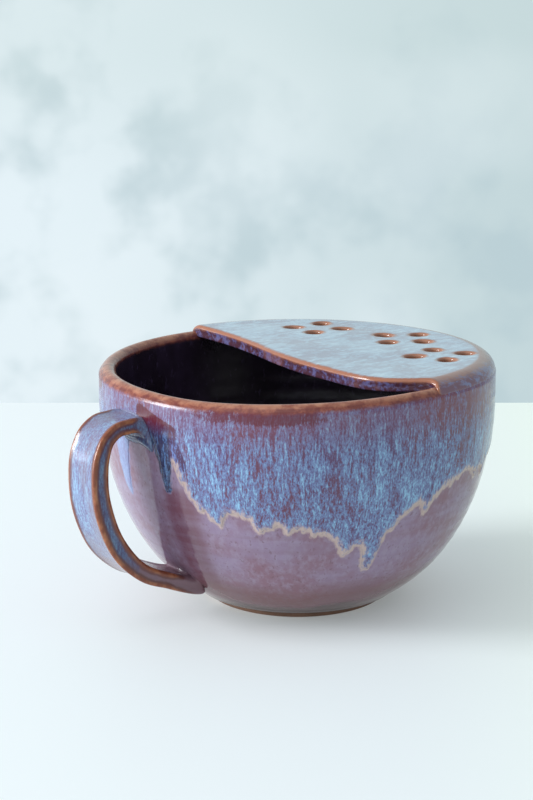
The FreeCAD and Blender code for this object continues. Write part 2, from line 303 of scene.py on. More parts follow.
# Drips below it: angle, hang, half width in degrees
DRIPS = [
    (-161.2, 2.6, 0.7), (-158.6, 2.4, 0.8), (-155.4, 2.8, 0.9), (-150.5, 4.0, 2.4),
    (-136.2, 3.4, 3.2), (-129.0, 2.2, 2.0),
    (-112.2, 4.6, 2.6), (-103.4, 13.0, 2.4), (-86.5, 4.2, 1.6), (-63.0, 2.0, 1.8),
    (-56.5, 2.6, 2.2), (-22.0, 4.0, 3.0), (-8.0, 12.0, 2.0),
    (10.0, 6.0, 2.5), (27.0, 9.0, 2.0), (52.0, 14.0, 2.0), (64.0, 5.0, 3.0),
    (88.0, 10.0, 2.4), (103.0, 4.0, 2.0), (118.0, 7.0, 2.0), (137.0, 13.0, 1.8),
    (156.0, 6.0, 2.4), (174.2, 23.0, 2.7),
]
TOOTH_SPACING = 2.1         # the small runs along the edge
TOOTH_HANG = 1.9
HALO = 1.7                  # width of the pale margin where the second coat thins out
COAT = 0.5                  # thickness of the second coat, as in the CAD
COAT_BEAD = 0.14            # how much thicker it is where it gathered along its edge
POOL_SIDE = -158.0          # the coat gathered dark beside the upper root as far as here
# Stretches where it pooled red under the lip: middle and half width in degrees
RED_BANDS = [(-137, 22), (150, 15)]
COVERED = (-84, -77, 84, 89)    # where the cover is pressed over the rim, for between()
COAT_COLUMNS = 1400
COAT_RADIUS = 76.0          # roughly, where the coat ends
COAT_SPACING = 2 * math.pi * COAT_RADIUS / COAT_COLUMNS
COAT_LIP_TURN = 40.0        # how far up the lip's round the coat thins out to nothing
EDGE_RAMP = 2.0             # how far in from its edge the coat has its full thickness
EDGE_SUNK = 0.12            # how far the outermost edge dips into the first coat
LIP_SUNK = 0.15             # and its upper edge
EDGE_REACH = 9.0            # how far from the edge the distance to it is worked out
DEEP_IN = 20.0              # and what it is taken to be beyond that


def ring_noise(spacing, seed):
    """Periodic noise round the bowl with bumps a given distance apart, about -1 to 1."""
    count = int(2 * math.pi * LIP_OUTER / spacing)
    values = np.random.default_rng(seed).uniform(-1, 1, count)
    angles = np.linspace(-180, 180, count, endpoint=False)
    return ring_line(list(zip(angles, values)))


TEETH = ring_noise(TOOTH_SPACING, 11)
FINE_TEETH = ring_noise(TOOTH_SPACING / 2.2, 23)


def run_line(degrees):
    """Height of the second coat's lower edge."""
    height = RUN_LEVEL(degrees)
    for place, hang, half_width in DRIPS:
        height = height - hang * np.exp(-0.7 * (apart(degrees, place) / half_width) ** 2.8)
    teeth = np.clip(TEETH(degrees) + 0.25, 0, None) ** 1.3
    return height - TOOTH_HANG * teeth - 0.35 * FINE_TEETH(degrees)


def edge_distance(run, height):
    """Distance of grid points to the run line; run has a value for each column."""
    nearest = np.full(height.shape, 1e9)
    reach = int(EDGE_REACH / COAT_SPACING)
    for shift in range(-reach, reach + 1):
        nearest = np.minimum(nearest, (shift * COAT_SPACING) ** 2
                             + (height - np.roll(run, shift)[None, :]) ** 2)
    return np.sqrt(nearest)


def margin_line(run):
    """Height of the pale margin's lower edge, everywhere HALO away from the run line."""
    margin = run - HALO
    reach = int(HALO / COAT_SPACING)
    for shift in range(-reach, reach + 1):
        drop = math.sqrt(max(HALO ** 2 - (shift * COAT_SPACING) ** 2, 0))
        margin = np.minimum(margin, np.roll(run, shift) - drop)
    return margin


def coat_thickness(degrees, height, run, margin, signed):
    """Full inside, rounded down to the run line with a bead along it, thin in the margin."""
    inner = np.clip(signed / EDGE_RAMP, 0, 1)
    body = COAT * np.sqrt(1 - (1 - inner) ** 2)
    bead = COAT_BEAD * np.exp(-((signed - 2.4) / 1.3) ** 2) * (signed > 0)
    skirt = 0.1 * smooth_step(height, margin, run) - EDGE_SUNK * (height <= margin + 1e-6)
    waves = np.sin(degrees / 7 + 2 * np.sin(height / 23)) + 0.6 * np.sin(degrees / 3 + height / 12)
    return (body + bead + np.maximum(skirt, -EDGE_SUNK)
            + 0.04 * waves * smooth_step(signed, 1, 5))


def coat_marks(degrees, height):
    """Where the coat breaks brown, pools dark or red, or has no pale margin."""
    # The lip breaks to brown, and glaze pools red below it, only where no cover is pressed on
    uncovered = 1 - between(degrees, *COVERED)
    lip = np.exp(-((height - RIM_TOP) / LIP_BROWN) ** 2) * uncovered
    red = np.zeros(len(degrees))
    for place, half_width in RED_BANDS:
        away = apart(degrees, place) / half_width
        red = np.maximum(red, 1 - smooth_step(away, 0.3, 1.3))
    pool_side = POOL_SIDE - 3 * smooth_step(height, 70, 84) - 12 * smooth_step(height, 85, 93)
    pool = (smooth_step(degrees, -178, -176) * (1 - smooth_step(degrees - pool_side, -2.5, 1))
            * between(height, 66, 71, 91, 94))
    # Where the handle was pressed on, the glaze gathered dark and left no pale margin
    slate = between(degrees, -176, -172, -164.6, -163.2) * (1 - smooth_step(height, 80, 88))
    plain = np.broadcast_to(smooth_step(np.abs(degrees), 163.4, 164.4), height.shape)
    return {"lip": lip, "pool": pool, "red": red * uncovered * smooth_step(height, 87.6, 92.2),
            "slate": slate, "plain": plain}


def make_over_coat():
    """Second coat of glaze, a real layer with a rounded edge and a thin pale margin."""
    angle = full_turn(COAT_COLUMNS)
    degrees = (np.degrees(angle) + 180) % 360 - 180
    run = run_line(degrees)
    margin = margin_line(run)
    levels = [margin + (run - margin) * t for t in (0, 0.12, 0.3, 0.5, 0.75, 1.0)]
    levels += [run + rise for rise in (0.2, 0.45, 0.75, 1.1, 1.6, 2.3, 3.2, 4.4, 6.0)]
    levels += [levels[-1] + (LIP_CENTRE_HEIGHT - levels[-1]) * t
               for t in np.linspace(0, 1, 34)[1:]]
    height = np.array(levels)
    signed = edge_distance(run, height) * np.where(height >= run - 1e-6, 1, -1)
    # The drip behind the handle is thinner than the rest, and painted paler as painted glare
    thinned_drip_painted_glare = smooth_step(degrees, 163, 165) * (1 - smooth_step(height, 72, 84))
    thickness = coat_thickness(degrees, height, run, margin, signed) * (1 - 0.7 * thinned_drip_painted_glare)
    rings = throwing_rings(angle, height, *OUTER_RINGS) * (1 - smooth_step(height, *RINGS_FADE))
    slope = OUTSIDE(height + 0.5) - OUTSIDE(height - 0.5)
    lean = 1 / np.sqrt(1 + slope ** 2)
    wall = (OUTSIDE(height) + rings + thickness * lean, height - thickness * slope * lean)

    turn = np.radians(np.linspace(0, COAT_LIP_TURN, 8)[1:, None])
    fade = 1 - np.linspace(0, 1, 8)[1:, None]
    proud = np.repeat(COAT * fade - LIP_SUNK * (1 - fade), COAT_COLUMNS, axis=1)
    lip = (LIP_MIDDLE + (HALF_LIP + proud) * np.cos(turn),
           LIP_CENTRE_HEIGHT + (RIM_TOP - LIP_CENTRE_HEIGHT + proud) * np.sin(turn))
    back_height = np.array([margin + (LIP_CENTRE_HEIGHT - margin) * t
                            for t in (0.98, 0.7, 0.4, 0.1)])
    back = (OUTSIDE(back_height) - 0.5, back_height)

    radius, height = (np.vstack(parts) for parts in zip(wall, lip, back))
    points = np.stack([radius * np.cos(angle), radius * np.sin(angle), height], -1)
    rows = len(height)
    faces = grid_faces(rows, COAT_COLUMNS)
    faces += band_faces((rows - 1) * COAT_COLUMNS, 0, COAT_COLUMNS)
    rest = (rows - len(levels), COAT_COLUMNS)
    return mesh_object("over_coat", settle(points).reshape(-1, 3), faces, {
        "edge": np.vstack([signed, np.full(rest, DEEP_IN)]),
        "thinned_drip_painted_glare": np.vstack([thinned_drip_painted_glare, np.zeros(rest)]), **coat_marks(degrees, height)})


# ---------------------------------------------------------------- the half cover

# Free edge of the cover, from the rim at +Y to the slot corner at -Y
COVER_LINE = [
    (0.8, 79.5), (0.4, 72.5), (0.6, 60.0), (0.2, 46.0), (-2.6, 28.0), (-5.2, 14.0), (-7.0, 0.0),
    (-8.2, -14.0), (-8.6, -30.0), (-8.4, -44.0), (-6.4, -55.5), (-2.2, -63.0), (2.0, -68.0),
    (5.2, -71.4), (7.0, -73.8), (7.4, -76.0), (6.9, -78.0), (6.2, -79.6),
]
OUTLINE_SPACING = 0.5
EDGE_INSET = 1.7            # how far the free edge's rounding reaches in
EDGE_DROP = 1.5             # and how far down
EDGE_DENT = 0.25            # how far its side is hollowed
LOW_ROUND = 0.7             # rounding of the free edge's lower corner
RIM_INSET = 7.4             # how wide the margin pressed down over the rim is
RIM_DROP = 5.9              # how far that margin comes down
RIM_HOLD = 4.0              # how far its underside reaches back into the rim
CORNER_RUN = 3.0            # the free edge's rounding dies away this far past the corners
# Flowers of needle holes: centre x, centre y, turn of the first hole in degrees
FLOWERS = [(38.6, 36.8, 44.0), (53.3, -3.1, 12.0), (42.3, -39.1, -25.0)]
HOLE_RING = 10.4
HOLE_LENGTH, HOLE_WIDTH = 7.8, 6.8
HOLE_ROUND = 1.1
HOLES_PER_FLOWER = 4
HOLE_POINTS = 40
HOLE_BROWN = 1.5            # how far out from a hole its rim is brown
EDGE_FAR = 8                # distances to an edge are worked out as far as this
MARGIN_OUT = LIP_OUTER + 0.25   # the margin ends this far from the axis
TOP_GRAIN, UNDER_GRAIN = 1.3, 2.2   # sides of the triangles that fill the two faces


def through(points, spacing):
    """Evenly spaced points on a smooth open curve through the given ones."""
    points = np.asarray(points, float)
    marks = np.concatenate([[0], np.cumsum(np.linalg.norm(np.diff(points, axis=0), axis=1))])
    at = np.linspace(0, marks[-1], 40 * len(points))
    dense = np.stack([smooth_line(marks, points[:, i])(at) for i in range(points.shape[1])], -1)
    length = np.concatenate([[0], np.cumsum(np.linalg.norm(np.diff(dense, axis=0), axis=1))])
    even = np.linspace(0, length[-1], int(round(length[-1] / spacing)) + 1)
    return np.stack([np.interp(even, length, dense[:, i]) for i in range(points.shape[1])], -1)


def cover_outline():
    """The cover's closed outline, counter-clockwise, and 1 where it lies on the rim."""
    edge = through(COVER_LINE, OUTLINE_SPACING)
    start = math.atan2(edge[-1, 1], edge[-1, 0])
    end = math.atan2(edge[0, 1], edge[0, 0])
    count = int(MARGIN_OUT * (end - start) / OUTLINE_SPACING)
    turn = np.linspace(start, end, count + 1)[1:-1]
    rim = np.stack([MARGIN_OUT * np.cos(turn), MARGIN_OUT * np.sin(turn)], -1)
    rim_share = np.minimum(turn - start, end - turn) * MARGIN_OUT / CORNER_RUN
    outline = np.vstack([edge, rim])
    share = np.concatenate([np.zeros(len(edge)), smooth_step(rim_share, 0, 1)])
    corners = np.ones(len(outline))
    for corner in (0, len(edge) - 1):
        away = np.abs((np.arange(len(outline)) - corner + len(outline) // 2)
                      % len(outline) - len(outline) // 2)
        corners = np.minimum(corners, smooth_step(away * OUTLINE_SPACING, 0.8, 3.0))
    for _ in range(24):
        mean = (np.roll(outline, 1, 0) + np.roll(outline, -1, 0)) / 2
        outline = outline + (mean - outline) * 0.5 * (1 - corners)[:, None]
    for _ in range(10):
        share = (np.roll(share, 1) + 2 * share + np.roll(share, -1)) / 4
    return outline, share


def inward_normals(outline, smoothing=6):
    """Flat unit vectors into a counter-clockwise outline, one for each point."""
    ahead = np.roll(outline, -1, 0) - np.roll(outline, 1, 0)
    normals = np.stack([-ahead[:, 1], ahead[:, 0]], -1)
    for _ in range(smoothing):
        normals = (np.roll(normals, 1, 0) + 2 * normals + np.roll(normals, -1, 0)) / 4
    return normals / np.linalg.norm(normals, axis=1)[:, None]


def hole_outlines():
    """Every needle hole's outline, a rounded petal a little wider at its outer end."""
    turn = full_turn(HOLE_POINTS)
    for number, (centre_x, centre_y, first) in enumerate(FLOWERS):
        for i in range(HOLES_PER_FLOWER):
            out = math.radians(first + 360 / HOLES_PER_FLOWER * i)
            wobble = 0.16 * math.sin(5.0 * number + 2.3 * i)
            along = (HOLE_LENGTH / 2 + wobble) * np.cos(turn)
            side = (HOLE_WIDTH / 2 - wobble / 2) * np.sin(turn) * (1 + 0.07 * np.cos(turn))
            ring = HOLE_RING + wobble
            x = centre_x + (ring + along) * math.cos(out) - side * math.sin(out)
            y = centre_y + (ring + along) * math.sin(out) + side * math.cos(out)
            yield np.stack([x, y], -1)


def inside_outline(points, outline):
    """Whether each point is inside a closed outline."""
    x, y = points[:, 0][:, None], points[:, 1][:, None]
    ax, ay = outline[:, 0][None, :], outline[:, 1][None, :]
    bx, by = np.roll(outline[:, 0], -1)[None, :], np.roll(outline[:, 1], -1)[None, :]
    crosses = (ay > y) != (by > y)
    at = ax + (y - ay) / np.where(by == ay, 1e-9, by - ay) * (bx - ax)
    return (np.sum(crosses & (x < at), axis=1) % 2) == 1


def nearest_distance(points, others):
    """Distance from each point to the nearest of the others."""
    gap = points[:, None, :] - others[None, :, :]
    return np.sqrt((gap ** 2).sum(-1).min(axis=1))


def filled_sheet(outer, holes, spacing):
    """Flat triangles between an outline and holes: points, faces, and each ring's first point."""
    rings = [outer] + holes
    corners = np.vstack(rings)
    edges, starts, first = [], [], 0
    for ring in rings:
        starts.append(first)
        edges += [(first + i, first + (i + 1) % len(ring)) for i in range(len(ring))]
        first += len(ring)
    low, high = outer.min(0), outer.max(0)
    rows = []
    for i, y in enumerate(np.arange(low[1], high[1], spacing * 0.87)):
        x = np.arange(low[0] + (i % 2) * spacing / 2, high[0], spacing)
        rows.append(np.stack([x, np.full(len(x), y)], -1))
    seeds = np.vstack(rows)
    seeds = seeds[inside_outline(seeds, outer)]
    seeds = seeds[nearest_distance(seeds, corners) > spacing * 0.6]
    for hole in holes:
        seeds = seeds[~inside_outline(seeds, hole)]
    points = np.vstack([corners, seeds])
    found = delaunay_2d_cdt([Vector(p) for p in points], edges, [], 1, 1e-6)
    flat = np.array([tuple(p) for p in found[0]])
    faces = np.array([face for face in found[2]])
    middle = flat[faces].mean(axis=1)
    keep = np.ones(len(faces), bool)
    for hole in holes:
        keep &= ~inside_outline(middle, hole)
    return flat, [tuple(int(i) for i in face) for face in faces[keep]], starts


def cover_top(points):
    """Height of the cover's top: flat, then rounded down over the rim."""
    reach = np.hypot(points[:, 0], points[:, 1])
    t = np.clip((reach - MARGIN_OUT + RIM_INSET) / RIM_INSET, 0, 1)
    return COVER_TOP - RIM_DROP * (1 - np.sqrt(1 - t ** 2))


class Skin:
    """A closed surface gathered ring by ring, with how far round an edge each point lies."""

    def __init__(self):
        self.points, self.rolls, self.on_rim = np.zeros((0, 3)), [], []
        self.faces = []

    def add(self, flat, level, roll, on_rim=0.0):
        """More points, given as places and a level. Returns their numbers."""
        size, first = len(flat), len(self.points)
        added = np.column_stack([flat, np.broadcast_to(level, size)])
        self.points = np.vstack([self.points, added])
        self.rolls.append(np.full(size, roll))
        self.on_rim.append(np.broadcast_to(on_rim, size))
        return list(range(first, first + size))

    def strip(self, upper, lower):
        """Quads between two rings."""
        for i in range(len(upper)):
            k = (i + 1) % len(upper)
            self.faces.append((upper[i], lower[i], lower[k], upper[k]))

    def wind_down(self, ring, outline, normals, steps, on_rim=0.0, hole=False):
        """Rings below a ring, each by a step of offset, level and roll. Returns the last."""
        for away, level, roll in steps:
            below = self.add(outline + normals * np.reshape(away, (-1, 1)), level, roll, on_rim)
            self.strip(*((below, ring) if hole else (ring, below)))
            ring = below
        return ring


def edge_steps(outline, normals, rim_share):
    """The outer edge's rings over the rounding, down the side and under it: inset, level, roll."""
    drop = EDGE_DROP * (1 - rim_share)
    steps = []
    for turn in np.radians(np.linspace(0, 90, 12)[1:]):
        away = EDGE_INSET * (1 - np.sin(turn))
        level = cover_top(outline + normals * away) - drop * (1 - np.cos(turn))
        steps.append((away, level, turn / math.pi))
    side_high = steps[-1][1]
    side_low = np.minimum(side_high - 0.05, COVER_UNDERSIDE + LOW_ROUND)
    for t in (0.35, 0.7, 1.0):
        dent = EDGE_DENT * math.sin(math.pi * t) * (1 - rim_share)
        steps.append((dent, side_high * (1 - t) + side_low * t, 0.5 + 0.2 * t))
    inset = LOW_ROUND + (RIM_HOLD - LOW_ROUND) * rim_share
    for turn in np.radians([25, 50, 70, 90]):
        steps.append((inset * (1 - math.cos(turn)), side_low - LOW_ROUND * math.sin(turn), 0.8))
    return steps


def hole_steps():
    """A needle hole's rings: round in, down the wall, round out."""
    steps = [(HOLE_ROUND * (1 - math.sin(turn)), COVER_TOP - HOLE_ROUND * (1 - math.cos(turn)),
              turn / 3.0) for turn in np.radians([18, 36, 54, 72, 90])]
    steps.append((0, (COVER_TOP + COVER_UNDERSIDE) / 2, 0.6))
    steps += [(HOLE_ROUND * (1 - math.cos(turn)),
               COVER_UNDERSIDE + HOLE_ROUND * (1 - math.sin(turn)), 0.8)
              for turn in np.radians([0, 30, 60, 90])]
    return steps


def cover_sag(x, y):
    """The slow unevenness of a slab laid by hand."""
    return (0.18 * np.sin(x / 17 + 0.6) * np.cos(y / 21 - 0.4)
            + 0.10 * np.sin(x / 7.5 + y / 9.0))


def make_half_cover():
    """The slab cover: rounded free edge, margin pressed over the rim, twelve petal holes."""
    outline, rim_share = cover_outline()
    normals = inward_normals(outline)
    holes = list(hole_outlines())
    outlines = [outline + normals * EDGE_INSET]
    outlines += [hole - inward_normals(hole, 0) * HOLE_ROUND for hole in holes]
    sheet, faces, starts = filled_sheet(outlines[0], outlines[1:], TOP_GRAIN)
    skin = Skin()
    skin.add(sheet, cover_top(sheet), 0.0)
    skin.faces += faces
    rings = [list(range(start, start + len(ring))) for start, ring in zip(starts, outlines)]
    under = [skin.wind_down(rings[0], outline, normals,
                            edge_steps(outline, normals, rim_share), rim_share)]
    for ring, hole in zip(rings[1:], holes):
        under.append(skin.wind_down(ring, hole, -inward_normals(hole, 0), hole_steps(),
                                    hole=True))

    outer, *inner = [skin.points[ring, :2] for ring in under]
    sheet, faces, starts = filled_sheet(outer, inner, UNDER_GRAIN)
    joined = [number for ring in under for number in ring]
    joined += skin.add(sheet[len(joined):], COVER_UNDERSIDE, 1.0)
    skin.faces += [tuple(joined[i] for i in face)[::-1] for face in faces]

    points = skin.points
    flat = points[:, :2]
    from_hole = nearest_distance(flat, np.vstack(holes))
    for hole in holes:
        from_hole[inside_outline(flat, hole)] = 0
    edge = np.minimum(EDGE_FAR, nearest_distance(flat, np.vstack([outline, *holes])))
    inward = LIP_OUTER - RIM_INSET - np.hypot(points[:, 0], points[:, 1])
    points[:, 2] += cover_sag(points[:, 0], points[:, 1]) * smooth_step(inward, 0, 12)
    return mesh_object("half_cover", settle(points), skin.faces, {
        "roll": np.concatenate(skin.rolls), "on_rim": np.concatenate(skin.on_rim),
        "edge": np.minimum(edge, from_hole), "margin": np.clip(-inward / RIM_INSET, 0, 1),
        "hole": 1 - np.clip(from_hole / HOLE_BROWN, 0, 1)})


# ---------------------------------------------------------------- coil and foot


def closed_sweep(name, sections, attributes=None):
    """A closed tube from a list of closed sections, flat at its ends."""
    rows, size = sections.shape[:2]
    points = sections.reshape(-1, 3)
    points = np.vstack([points, sections[0].mean(0), sections[-1].mean(0)])
    faces = grid_faces(rows, size)
    faces += fan_faces(rows * size, 0, size)
    faces += fan_faces(rows * size + 1, (rows - 1) * size, size)
    return mesh_object(name, points, faces, attributes)


COIL_LEAN = 0.21            # the coil's first end lies this share of its +X reach out along +X
COIL_TRIM = 0.02            # and is cut back by this angle, in radians
COIL_END = math.radians(84)
COIL_SECTIONS = 260


def make_coil():
    """The rolled coil worked into the corner under the cover, a soft hollow fillet."""
    low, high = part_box("cover_joint_coil")
    leg = (high.z - low.z) / MM
    wall = float(INSIDE(COVER_UNDERSIDE - leg))
    start = math.atan2(low.y, COIL_LEAN * high.x) + COIL_TRIM
    across = np.linspace(0, 1, 9)
    sections = []
    for turn in np.linspace(start, COIL_END, COIL_SECTIONS):
        swell = 1 + 0.06 * math.sin(9 * turn) + 0.04 * math.sin(23 * turn + 1)
        size = leg * swell * min(1, 0.35 + 8 * min(turn - start, COIL_END - turn))
        # the hollow face from cover to wall, then two corners hidden in the clay
        radius = np.concatenate([wall + 0.4 - size * (1 - across) ** 1.5, [wall + 1.4] * 2])
        level = np.concatenate([COVER_UNDERSIDE + 0.3 - size * across ** 1.5,
                                [COVER_UNDERSIDE - size, COVER_UNDERSIDE + 0.3]])
        sections.append(np.stack([radius * math.cos(turn), radius * math.sin(turn), level], -1))
    return closed_sweep("cover_joint_coil", settle(np.array(sections)[:, ::-1]))


FOOT_EDGE = 0.9             # rounding of the foot's two lower edges


def make_foot():
    """The unglazed ring the bowl stands on, its edges sponged round."""
    tree = node_tree("foot_ring")
    outer, inner = radius_outside(tree, 0.3), radius_inside(tree, 1.0)
    corner = np.radians(np.linspace(0, 90, 6))
    across, rise = FOOT_EDGE * (1 - np.sin(corner)), FOOT_EDGE * (1 - np.cos(corner))
    radii = np.concatenate([[inner], inner + across[::-1], outer - across, [FOOT_RADIUS]])
    levels = np.concatenate([[FOOT_TOP], rise[::-1], rise, [FOOT_TOP]])
    points, angle = turned(radii, levels, 360)
    push_out(points, angle, 0.06 * np.sin(5 * angle))
    rows, columns = points.shape[:2]
    faces = grid_faces(rows, columns) + band_faces((rows - 1) * columns, 0, columns)
    return mesh_object("foot_ring", points.reshape(-1, 3), faces)


# ---------------------------------------------------------------- the handle

# The pulled strap between its roots: distance out from the axis, height, width, thickness
STRAP_LINE = [
    (84.5, 84.6, 18.0, 5.4), (90.2, 83.9, 18.2, 5.3), (94.9, 80.6, 18.4, 5.6),
    (97.9, 74.6, 18.8, 6.2), (99.3, 63.6, 19.2, 6.8), (97.2, 48.6, 19.8, 7.0),
    (90.6, 34.4, 20.6, 7.0), (80.2, 24.2, 21.4, 6.5), (69.5, 19.4, 21.4, 6.1)]
STRAP_SPACING = 0.8
STRAP_CORNER = 1.7          # rounding of the strap's four edges
STRAP_BEAD = 0.35           # how far the edges stand proud where the strap was smoothed
STRAP_HOLLOW = 0.55         # how far the faces between them sink
FACE_POINTS, SIDE_POINTS, CORNER_POINTS = 20, 8, 9
# Where each root lands on the wall: height of its middle, half width, half height
UPPER_LANDING = (82.2, 11.6, 6.4)
LOWER_LANDING = (16.8, 10.8, 4.4)
UPPER_TAIL = 5.0            # how far the glaze-heavy near side of the upper root trails down
UPPER_LEDGE = 1.1           # how thick the clay smeared on to the wall round it is
TAIL_AT, TAIL_WIDTH = math.radians(205), 0.42   # which way round the root, and how wide
LEDGE_AT, LEDGE_WIDTH = 0.84, 0.11      # where along the flare, 1 being the wall
ROOT_ROWS = 18
LANDING_DEPTH = 0.35        # how far a root's rim dips into the glaze
WALL_SEARCH, HALVINGS = 40.0, 40        # how far off the wall may be, and steps to find it


def strap_section(width, thickness):
    """The strap's rounded section: across, depth outwards, and distance to the nearest edge."""
    straight_x, straight_z = width / 2 - STRAP_CORNER, thickness / 2 - STRAP_CORNER
    points = []
    for quarter in range(4):
        side_x = straight_x * (1, -1, -1, 1)[quarter]
        side_z = straight_z * (1, 1, -1, -1)[quarter]
        start = quarter * math.pi / 2
        arc = start + np.linspace(0, math.pi / 2, CORNER_POINTS)
        points.append(np.stack([side_x + STRAP_CORNER * np.cos(arc),
                                side_z + STRAP_CORNER * np.sin(arc)], -1))
        following = (quarter + 1) % 4
        to_x = straight_x * (1, -1, -1, 1)[following] + STRAP_CORNER * math.cos(arc[-1])
        to_z = straight_z * (1, 1, -1, -1)[following] + STRAP_CORNER * math.sin(arc[-1])
        share = np.linspace(0, 1, FACE_POINTS if quarter % 2 == 0 else SIDE_POINTS)[1:-1, None]
        points.append(points[-1][-1] * (1 - share) + np.array([to_x, to_z]) * share)
    ring = np.vstack(points)
    across, depth = ring[:, 0] / (width / 2), ring[:, 1] / (thickness / 2)
    to_edge = ((1 - np.abs(across)) * width + (1 - np.abs(depth)) * thickness) / 2
    to_edge = to_edge - to_edge.min()
    bead = STRAP_BEAD * np.exp(-(to_edge / 1.3) ** 2)
    hollow_x = 0.5 * STRAP_HOLLOW * np.clip(1 - depth ** 2, 0, 1) * np.abs(across) ** 6
    hollow_z = STRAP_HOLLOW * np.clip(1 - across ** 2, 0, 1) * np.abs(depth) ** 3 * (depth > 0)
    ring = ring + np.sign(ring) * np.stack([bead - hollow_x, bead - hollow_z], -1)
    return ring, across, depth, to_edge


def to_wall(points, direction):
    """Points moved along a direction until they meet the wall."""
    low, high = np.zeros(len(points)), np.full(len(points), WALL_SEARCH)
    for _ in range(HALVINGS):
        middle = (low + high) / 2
        at = points + direction * middle[:, None]
        outside = np.hypot(at[:, 0], at[:, 1]) > OUTSIDE(at[:, 2])
        low, high = np.where(outside, middle, low), np.where(outside, high, middle)
    return points + direction * low[:, None]


def root_rows(ring, direction, reach, landing, up, cover, turn, tail, ledge):
    """A hollow flare from the strap's end ring to an oval on the wall, and a cap behind it."""
    height, half_width, half_height = landing
    corner = ring + (to_wall(ring, direction) - ring) * reach
    trail = np.exp(-((np.mod(turn, 2 * math.pi) - TAIL_AT) / TAIL_WIDTH) ** 2)
    z = height + up * half_height * np.sin(turn) - tail * trail
    y = half_width * np.cos(turn) - 0.5 * tail * trail
    radius = OUTSIDE(z) + cover - LANDING_DEPTH
    land = np.stack([-np.sqrt(radius ** 2 - y ** 2), y, z], -1)
    rows = []
    for t in np.linspace(0, 1, ROOT_ROWS + 1)[1:]:
        row = (1 - t) ** 2 * ring + 2 * t * (1 - t) * corner + t ** 2 * land
        thick = ledge * math.exp(-((t - LEDGE_AT) / LEDGE_WIDTH) ** 2)
        out = row * [1, 1, 0] / np.hypot(row[:, 0], row[:, 1])[:, None]
        rows.append(row + out * thick)
    inner = land + np.array([2.0, 0, 0])
    rows.append(inner + (inner.mean(0) - inner) * 0.2)
    return rows


def make_handle():
    """Pulled strap handle with both roots smoothed on to the wall, as one skin."""
    line = through(STRAP_LINE, STRAP_SPACING)
    along = np.gradient(line[:, :2], axis=0)
    along /= np.linalg.norm(along, axis=1)[:, None]
    rows, to_edges = [], []
    for i, (out, height, width, thickness) in enumerate(line):
        place = i / (len(line) - 1)
        uneven = 1 + 0.025 * math.sin(11 * place + 1) + 0.015 * math.sin(29 * place)
        section, across, depth, to_edge = strap_section(width, thickness * uneven)
        lateral = section[:, 0] + 0.3 * math.sin(5 * place + 2)
        rows.append(np.stack([-out + along[i, 1] * section[:, 1], lateral,
                              height + along[i, 0] * section[:, 1]], -1))
        to_edges.append(to_edge)
    turn = np.arctan2(depth, across)
    upper_direction = np.array([along[0, 0], 0, -along[0, 1]])
    lower_direction = np.array([-along[-1, 0], 0, along[-1, 1]])
    upper = root_rows(rows[0], upper_direction, 1.0, UPPER_LANDING, 1, COAT, turn,
                      UPPER_TAIL, UPPER_LEDGE)
    lower = root_rows(rows[-1], lower_direction, 0.75, LOWER_LANDING, -1, 0, turn, 0, 0)
    count = len(rows)
    rows = np.array(upper[::-1] + rows + lower)
    climb = np.linspace(0, 1, ROOT_ROWS + 1)[1:]
    root = np.concatenate([[1], climb[::-1], np.zeros(count), climb, [1]])
    low_root = np.concatenate([np.zeros(ROOT_ROWS + 1 + count), climb, [1]])
    to_edges = np.array([to_edges[0]] * (ROOT_ROWS + 1) + to_edges
                        + [to_edges[-1]] * (ROOT_ROWS + 1))
    shape = rows.shape[:2]

    def everywhere(values):
        return np.concatenate([np.broadcast_to(values, shape).ravel(), [0, 0]])
    return closed_sweep("handle", settle(rows), {
        "edge": everywhere(to_edges), "root": everywhere(root[:, None]),
        "low_root": everywhere(low_root[:, None]), "outer": everywhere(depth[None, :])})


# ---------------------------------------------------------------- node trees


def linear(colour):
    """A display colour of three values to 255 as the linear RGBA that shaders take."""
    parts = [value / 255 for value in colour]
    return [part / 12.92 if part <= 0.04045 else ((part + 0.055) / 1.055) ** 2.4
            for part in parts] + [1.0]


class Value:
    """A number that differs from place to place. Each sum or product of it is a node."""

    def __init__(self, tree, socket):
        self.tree, self.socket = tree, socket

    def __add__(self, other):
        return self.tree.math("ADD", self, other)

    def __sub__(self, other):
        return self.tree.math("SUBTRACT", self, other)

    def __mul__(self, other):
        return self.tree.math("MULTIPLY", self, other)

    def swing(self, amount):
        """Noise from 0 to 1 as a swing to both sides of 0, amount wide in all."""
        return (self - 0.5) * amount

    def step(self, low, high, out_low=0.0, out_high=1.0):
        """A soft step from out_low at low to out_high at high."""
        node = self.tree.node("MapRange", interpolation_type="SMOOTHSTEP")
        for setting, socket in zip((self, low, high, out_low, out_high), node.inputs):
            self.tree.put(setting, socket)
        return Value(self.tree, node.outputs[0])


